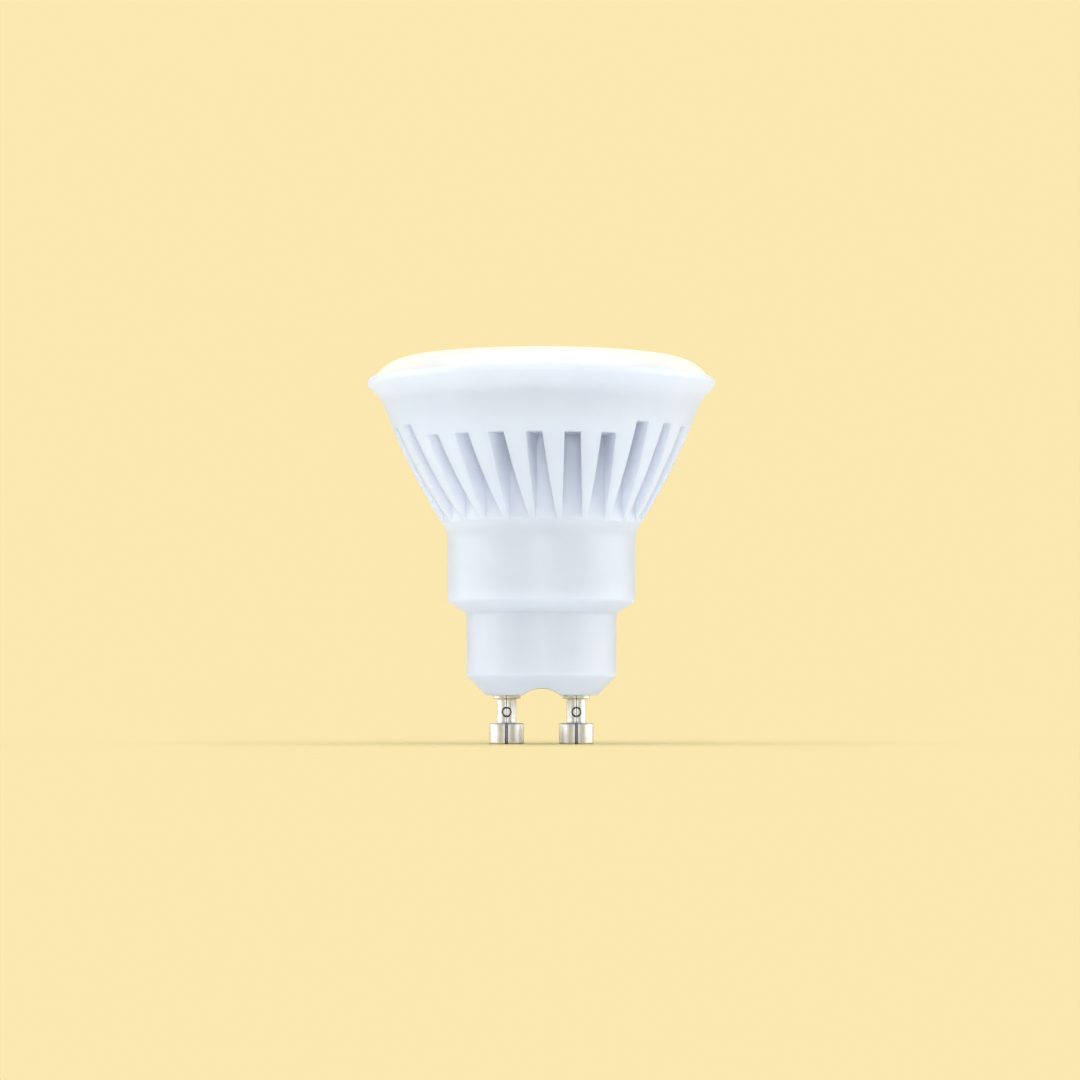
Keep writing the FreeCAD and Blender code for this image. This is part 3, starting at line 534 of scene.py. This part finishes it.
def fill_prism(work, lower, upper):
    """A solid between two outlines of as many corners each, given as points in space."""
    low_ring = [work.verts.new(point) for point in lower]
    high_ring = [work.verts.new(point) for point in upper]
    work.faces.new(reversed(low_ring))
    work.faces.new(high_ring)
    for index in range(len(low_ring)):
        following = (index + 1) % len(low_ring)
        work.faces.new((low_ring[index], low_ring[following], high_ring[following], high_ring[index]))


def slot_plan(height, widening, turn):
    """A slot's outline at one height: the arc of its floor, then its open outer end."""
    right = SLOT_OFFSET + SLOT_WIDTH / 2 + widening
    left = SLOT_OFFSET - SLOT_WIDTH / 2 - widening
    floor = SLOT_FLOOR_RADIUS - widening
    corners = []
    for step in range(SLOT_FLOOR_STEPS + 1):
        across = left + (right - left) * step / SLOT_FLOOR_STEPS
        corners.append(Vector((across, -math.sqrt(floor ** 2 - across ** 2), height)))
    outer = -RIM_RADIUS - CUT_PAST
    corners += [Vector((right, outer, height)), Vector((left, outer, height))]
    rotation = Matrix.Rotation(turn, 3, "Z")
    return [rotation @ corner for corner in corners]


def fill_slots(work):
    """The ring of slots: each is set off to one side, and their tops change height by quarters."""
    for number in range(4 * SLOTS_IN_QUARTER):
        quarter = number // SLOTS_IN_QUARTER
        ceiling = SLOT_CEILING_TALL if quarter % 2 else SLOT_CEILING_SHORT
        turn = (number - SLOTS_BEFORE_FRONT) * SLOT_PITCH
        widening = (ceiling - NECK_TOP) * math.tan(SLOT_DRAFT)
        fill_prism(work, slot_plan(NECK_TOP, widening, turn), slot_plan(ceiling, 0, turn))


def circle_points(centre, radius, across, up, count):
    """Points on a circle in the plane of two directions."""
    points = []
    for step in range(count):
        angle = 2 * math.pi * step / count
        points.append(centre + across * radius * math.cos(angle) + up * radius * math.sin(angle))
    return points


def fill_rod(work, start, end, radius, count=ROD_SIDES):
    """A round rod between two points, for cutting holes."""
    axis = (end - start).normalized()
    across = axis.orthogonal().normalized()
    up = axis.cross(across)
    fill_prism(work, circle_points(start, radius, across, up, count),
               circle_points(end, radius, across, up, count))


def fill_box(work, low, high):
    """An upright box between two opposite corners."""
    plan = [(low.x, low.y), (high.x, low.y), (high.x, high.y), (low.x, high.y)]
    fill_prism(work, [(*corner, low.z) for corner in plan], [(*corner, high.z) for corner in plan])


def fill_base_cuts(work):
    """The arched groove across the base, and the holes that the studs sit in."""
    groove_radius = (GROOVE_WIDTH ** 2 / 4 + GROOVE_DEPTH ** 2) / (2 * GROOVE_DEPTH)
    height = GROOVE_DEPTH - groove_radius
    reach = BASE_RADIUS + CUT_PAST
    fill_rod(work, Vector((0, -reach, height)), Vector((0, reach, height)), groove_radius, GROOVE_SIDES)
    for side in (-1, 1):
        centre = side * STUD_PITCH / 2
        # These start so near the face that the groove's rod is still narrower than the space between
        fill_rod(work, Vector((centre, 0, -HOLE_CUT_PAST)), Vector((centre, 0, FLOOR + HOLE_CUT_PAST)),
                 STUD_HOLE_IN_BASE)


def fill_ribs(work):
    """The two ribs on the base's floor that hold the driver board's tongue."""
    for front in (RIB_FRONT, RIB_FRONT + RIB_THICKNESS + RIB_SLOT):
        fill_box(work, Vector((-RIB_LENGTH / 2, front, FLOOR - RIB_ROOT)),
                 Vector((RIB_LENGTH / 2, front + RIB_THICKNESS, FLOOR + RIB_HEIGHT)))


def combine(piece, mesh_maker, operation):
    """Adds a shape to the piece or takes it away, exactly."""
    mesh = make_mesh("tool", mesh_maker)
    tool = bpy.data.objects.new("tool", mesh)
    bpy.context.scene.collection.objects.link(tool)
    change = piece.modifiers.new("change", "BOOLEAN")
    change.object = tool
    change.operation = operation
    change.solver = "EXACT"
    bpy.context.view_layer.update()
    changed = bpy.data.meshes.new_from_object(piece.evaluated_get(bpy.context.evaluated_depsgraph_get()))
    piece.modifiers.clear()
    changed.name = piece.name
    old = piece.data
    piece.data = changed
    bpy.data.meshes.remove(old)
    bpy.data.objects.remove(tool)
    bpy.data.meshes.remove(mesh)


def smooth(piece):
    """Round surfaces shade smoothly, and corners sharper than the limit stay crisp."""
    piece.data.shade_smooth()
    piece.data.set_sharp_from_angle(angle=CORNER_LIMIT)


def fill_diffuser(work):
    """The opal front: a flat crown with round shoulders, over a skirt that snaps into the rim."""
    shoulder_across = DOME_RADIUS - DOME_SHOULDER
    crown_radius = DOME_RADIUS ** 2 / (2 * DOME_CROWN_RISE) + DOME_CROWN_RISE / 2
    crown_centre = Vector((0, DOME_TOP - crown_radius))
    arc_distance = crown_radius - DOME_SHOULDER
    rise = math.sqrt(arc_distance ** 2 - shoulder_across ** 2)
    shoulder_centre = Vector((shoulder_across, crown_centre.y + rise))
    toward = (shoulder_centre - crown_centre).normalized()

    def shell(inset, foot):
        """The crown's and the shoulder's points for one skin, down to a height."""
        crown_end = crown_centre + toward * (crown_radius - inset)
        drop = foot - shoulder_centre.y
        foot_across = shoulder_across + math.sqrt((DOME_SHOULDER - inset) ** 2 - drop ** 2)
        crown_start = Vector((0, DOME_TOP - inset))
        points = arc_points(crown_centre, crown_start, crown_end, CROWN_STEPS)
        points[0] = (0, DOME_TOP - inset)
        points += arc_points(shoulder_centre, crown_end, Vector((foot_across, foot)), SHOULDER_STEPS)[1:]
        return points

    skirt = [
        (SKIRT_OUTER, RIM_TOP),
        (SKIRT_OUTER, SNAP_MIDDLE + SNAP_HALF),
        (SKIRT_OUTER + SNAP_DEPTH, SNAP_MIDDLE),
        (SKIRT_OUTER, SNAP_MIDDLE - SNAP_HALF),
        (SKIRT_OUTER, SKIRT_BOTTOM),
        (SKIRT_INNER, SKIRT_BOTTOM),
        (SKIRT_INNER, FLANGE_TOP),
    ]
    turn_outline(work, shell(0, RIM_TOP) + skirt + shell(DOME_WALL, FLANGE_TOP)[::-1], TURNS)


def fill_stud(work):
    """One stud about its own axis: collar, neck and head, rolled from sheet."""
    bore = STUD_NECK_RADIUS - STUD_SHEET
    turn_outline(work, rounded([
        (bore, STUD_FLARE_TOP, 0),
        (bore, STUD_HEAD_TOP - STUD_SHEET, 0),
        (STUD_HEAD_RADIUS - STUD_SHEET, STUD_HEAD_TOP - STUD_SHEET, 0),
        (STUD_HEAD_RADIUS - STUD_SHEET, STUD_BOTTOM, SHEET_ROUNDING),
        (STUD_HEAD_RADIUS, STUD_BOTTOM, STUD_ROUNDING),
        (STUD_HEAD_RADIUS, STUD_HEAD_TOP, STUD_ROUNDING),
        (STUD_NECK_RADIUS, STUD_HEAD_TOP, SHEET_ROUNDING),
        (STUD_NECK_RADIUS, -STUD_COLLAR, SHEET_ROUNDING),
        (STUD_COLLAR_RADIUS, -STUD_COLLAR, SHEET_ROUNDING),
        (STUD_COLLAR_RADIUS, 0, 0),
        (STUD_NECK_RADIUS, 0, 0),
        (STUD_NECK_RADIUS, FLOOR, 0),
        (STUD_FLARE_RADIUS, FLOOR, 0),
        (STUD_FLARE_RADIUS, STUD_FLARE_TOP, 0),
    ]), STUD_TURNS)


def fill_stud_cuts(work):
    """The seam where the rolled sheet's edges meet, wider at the head."""
    front = -STUD_HEAD_RADIUS - CUT_PAST
    below = STUD_BOTTOM - CUT_PAST
    above = STUD_FLARE_TOP + CUT_PAST
    head_half = STUD_SEAM_HEAD / 2
    neck_half = STUD_SEAM_NECK / 2
    # The wide part ends just above the head, so that it shares no plane with the head's top
    step = STUD_HEAD_TOP + STUD_SEAM_OVERLAP
    outline = [(-head_half, below), (head_half, below), (head_half, step), (neck_half, step),
               (neck_half, above), (-neck_half, above), (-neck_half, step), (-head_half, step)]
    fill_prism(work, [(across, front, up) for across, up in outline],
               [(across, 0, up) for across, up in outline])


def fill_stud_mark(work):
    """The round mark of the punch that crimps the neck on its wire."""
    inner = STUD_MARK_RADIUS - STUD_MARK_WIDTH / 2
    outer = STUD_MARK_RADIUS + STUD_MARK_WIDTH / 2
    floor = STUD_NECK_RADIUS - STUD_MARK_DEPTH
    front = STUD_NECK_RADIUS + CUT_PAST
    # Its sides slope and meet at the floor, as a blunt punch leaves them
    turn_outline(work, [
        (STUD_MARK_RADIUS, floor), (outer, floor + STUD_MARK_SLOPE), (outer, front), (inner, front),
        (inner, floor + STUD_MARK_SLOPE)], STUD_TURNS)
    # The ring was turned round Z, and faces forwards
    work.transform(Matrix.Translation((0, 0, STUD_MARK_UP)) @ Matrix.Rotation(math.pi / 2, 4, "X"))


def make_lamp(finish):
    """The four pieces that show, in place of their solids."""
    housing = new_piece(
        "housing_moulding", fill_housing, finish["housing_white"], "housing")
    combine(housing, fill_slots, "DIFFERENCE")
    combine(housing, fill_base_cuts, "DIFFERENCE")
    combine(housing, fill_ribs, "UNION")
    smooth(housing)
    diffuser = new_piece(
        "diffuser_moulding", fill_diffuser, finish["diffuser_opal"], "diffuser")
    smooth(diffuser)
    for side, name in ((-1, "left"), (1, "right")):
        stud = new_piece(
            f"stud_{name}_pressing", fill_stud, finish["stud_nickel"], f"stud_{name}")
        combine(stud, fill_stud_cuts, "DIFFERENCE")
        combine(stud, fill_stud_mark, "DIFFERENCE")
        stud.data.transform(Matrix.Translation((side * STUD_PITCH / 2 * MM, 0, 0)))
        smooth(stud)


def dress_inner_pieces(finish):
    """The CAD's own pieces inside the lamp take the finish of their slots."""
    slots = {part["node"]: part["material_slot"] for part in frame["record"]["subparts"]}
    for name, node in frame["nodes"].items():
        if name not in REPLACED:
            node.data.materials.clear()
            node.data.materials.append(finish[slots[name]])


def make_floor():
    """A plain sweep: floor, curve and backdrop in one, the same pale colour all over."""
    material = bpy.data.materials.new("sweep_paper")
    material.use_nodes = True
    tree = material.node_tree
    tree.nodes.remove(tree.nodes["Principled BSDF"])
    bounce = add_node(tree, "ShaderNodeBsdfDiffuse", inputs={"Color": linear(SWEEP_BOUNCE)})
    near = add_node(tree, "ShaderNodeBsdfDiffuse", inputs={"Color": linear(SWEEP_NEAR)})
    distant = add_node(tree, "ShaderNodeEmission", inputs={"Color": linear(SWEEP_SEEN)})
    path = add_node(tree, "ShaderNodeLightPath")
    sharp = add_node(tree, "ShaderNodeMath", {"operation": "MAXIMUM"}, {
        0: path.outputs["Is Camera Ray"], 1: path.outputs["Is Glossy Ray"]})
    # Near the lamp the floor takes light as plain paper does, so that the lamp's shadow shows on it
    places = add_node(tree, "ShaderNodeTexCoord").outputs["Object"]
    away = add_node(tree, "ShaderNodeVectorMath", {"operation": "LENGTH"}, {0: places})
    far = add_node(tree, "ShaderNodeMapRange", {"interpolation_type": "SMOOTHSTEP"}, {
        "Value": away.outputs["Value"], "From Min": SHADOW_START, "From Max": SHADOW_END})
    seen = add_node(tree, "ShaderNodeMixShader", inputs={
        "Fac": far.outputs["Result"], 1: near.outputs[0], 2: distant.outputs[0]})
    mixed = add_node(tree, "ShaderNodeMixShader", inputs={
        "Fac": sharp.outputs[0], 1: bounce.outputs[0], 2: seen.outputs[0]})
    tree.links.new(mixed.outputs[0], tree.nodes["Material Output"].inputs["Surface"])
    profile = [(SWEEP_FRONT, 0)]
    for step in range(SWEEP_CURVE_STEPS + 1):
        angle = math.radians(90) * step / SWEEP_CURVE_STEPS
        profile.append((SWEEP_BACK - SWEEP_CURVE + SWEEP_CURVE * math.sin(angle),
                        SWEEP_CURVE - SWEEP_CURVE * math.cos(angle)))
    profile.append((SWEEP_BACK, SWEEP_TOP))
    mesh = bpy.data.meshes.new("sweep")
    vertices = []
    for depth, height in profile:
        for side in (-SWEEP_HALF_WIDTH, SWEEP_HALF_WIDTH):
            vertices.append((side, depth, height + STUD_BOTTOM * MM))
    faces = []
    for index in range(len(profile) - 1):
        first = 2 * index
        faces.append((first, first + 1, first + 3, first + 2))
    mesh.from_pydata(vertices, [], faces)
    mesh.materials.append(material)
    mesh.shade_smooth()
    floor = bpy.data.objects.new("sweep", mesh)
    bpy.context.scene.collection.objects.link(floor)


def add_softbox(name, place, size, power):
    """A softbox that faces the lamp on the floor."""
    data = bpy.data.lights.new(name, "AREA")
    data.shape = "RECTANGLE"
    data.size = size[0]
    data.size_y = size[1]
    data.energy = power
    # Daylight, a little cooler than neutral, as in the photograph
    data.color = linear(SOFTBOX_COLOUR)[:3]
    light = bpy.data.objects.new(name, data)
    light.location = place
    light.rotation_euler = (Vector(SOFTBOX_TARGET) - Vector(place)).to_track_quat("-Z", "Y").to_euler()
    bpy.context.scene.collection.objects.link(light)


def light_scene():
    """A studio with a large softbox above, one on each side and a small one in front."""
    world = bpy.data.worlds.new("studio")
    bpy.context.scene.world = world
    world.use_nodes = True
    background = world.node_tree.nodes["Background"]
    background.inputs["Color"].default_value = linear("#FFFFFF")
    background.inputs["Strength"].default_value = WORLD_STRENGTH
    add_softbox("left_softbox", (-SIDE_ACROSS, SIDE_BACK, SIDE_HEIGHT), SIDE_SIZE, SIDE_POWER)
    add_softbox("right_softbox", (SIDE_ACROSS, SIDE_BACK, SIDE_HEIGHT), SIDE_SIZE, SIDE_POWER)
    add_softbox("top_softbox", TOP_PLACE, TOP_SIZE, TOP_POWER)
    add_softbox("low_fill", FRONT_PLACE, FRONT_SIZE, FRONT_POWER)


def place_camera():
    """The photograph's view: a long lens, a little below the lamp's base, tipped up a little."""
    scene = bpy.context.scene
    centre_row = PHOTO_WIDTH / 2
    eye = Vector((0, -EYE_DISTANCE, (BASE_FACE_ROW - EYE_ROW) / PIXELS_PER_MM))
    target = Vector((0, 0, (BASE_FACE_ROW - centre_row) / PIXELS_PER_MM))
    aside = Vector(((centre_row - AXIS_COLUMN) / PIXELS_PER_MM, 0, 0))
    data = bpy.data.cameras.new("camera")
    data.sensor_width = SENSOR
    data.lens = SENSOR * EYE_DISTANCE / (PHOTO_WIDTH / PIXELS_PER_MM)
    data.clip_start = NEAREST
    camera = bpy.data.objects.new("camera", data)
    camera.location = (eye + aside) * MM
    camera.rotation_euler = (target - eye).to_track_quat("-Z", "Y").to_euler()
    scene.collection.objects.link(camera)
    scene.camera = camera
    scene.view_settings.view_transform = "Standard"


finish = {
    "housing_white": moulded_white_plastic(),
    "diffuser_opal": lit_opal_polycarbonate(),
    "stud_nickel": nickel_plated_brass(),
    "spreader_aluminium": drawn_aluminium(),
    "thermal_pad_grey": moulded_part("silicone_pad", "#6C737A", "#777E85", 0.6, 0.75),
    "led_board_white": coated_board("white_solder_mask", "#ECEBE6", "#F1F0EC"),
    "led_phosphor": moulded_part("led_phosphor", "#E9CB4E", "#F1D663", 0.35, 0.5, grain_mm=0.2),
    "connector_white": moulded_part("moulded_nylon", "#E2DFD5", "#EAE7DE", 0.4, 0.5),
    "screw_steel": nickel_plated_steel(),
    "insulator_natural": moulded_part("natural_polypropylene", "#DAD9CF", "#E3E2D9", 0.35, 0.5),
    "board_green": coated_board("green_solder_mask", "#1A4F2C", "#226037"),
    "chip_black": moulded_part("moulded_epoxy", "#131314", "#1B1B1D", 0.45, 0.6),
    "capacitor_sleeve": moulded_part("shrink_sleeve", "#171B2B", "#1F2438", 0.2, 0.3),
    "ferrite": moulded_part("sintered_ferrite", "#242322", "#302E2D", 0.5, 0.7),
    "winding_copper": enamelled_copper_wire(),
    "film_red": moulded_part("dipped_red_epoxy", "#8F1A11", "#A32317", 0.15, 0.25),
    "suppressor_blue": moulded_part("dipped_blue_epoxy", "#173C96", "#1F48AB", 0.18, 0.28),
    "fuse_green": moulded_part("cement_coating", "#47685A", "#527565", 0.55, 0.7),
    "wire_white": moulded_part("white_silicone_wire", "#E2E1DC", "#EAE9E5", 0.4, 0.55),
    "wire_red": moulded_part("red_silicone_wire", "#A81510", "#B91E17", 0.4, 0.55),
    "wire_black": moulded_part("black_silicone_wire", "#101011", "#18181A", 0.4, 0.55),
}

make_lamp(finish)
dress_inner_pieces(finish)
make_floor()
light_scene()
place_camera()
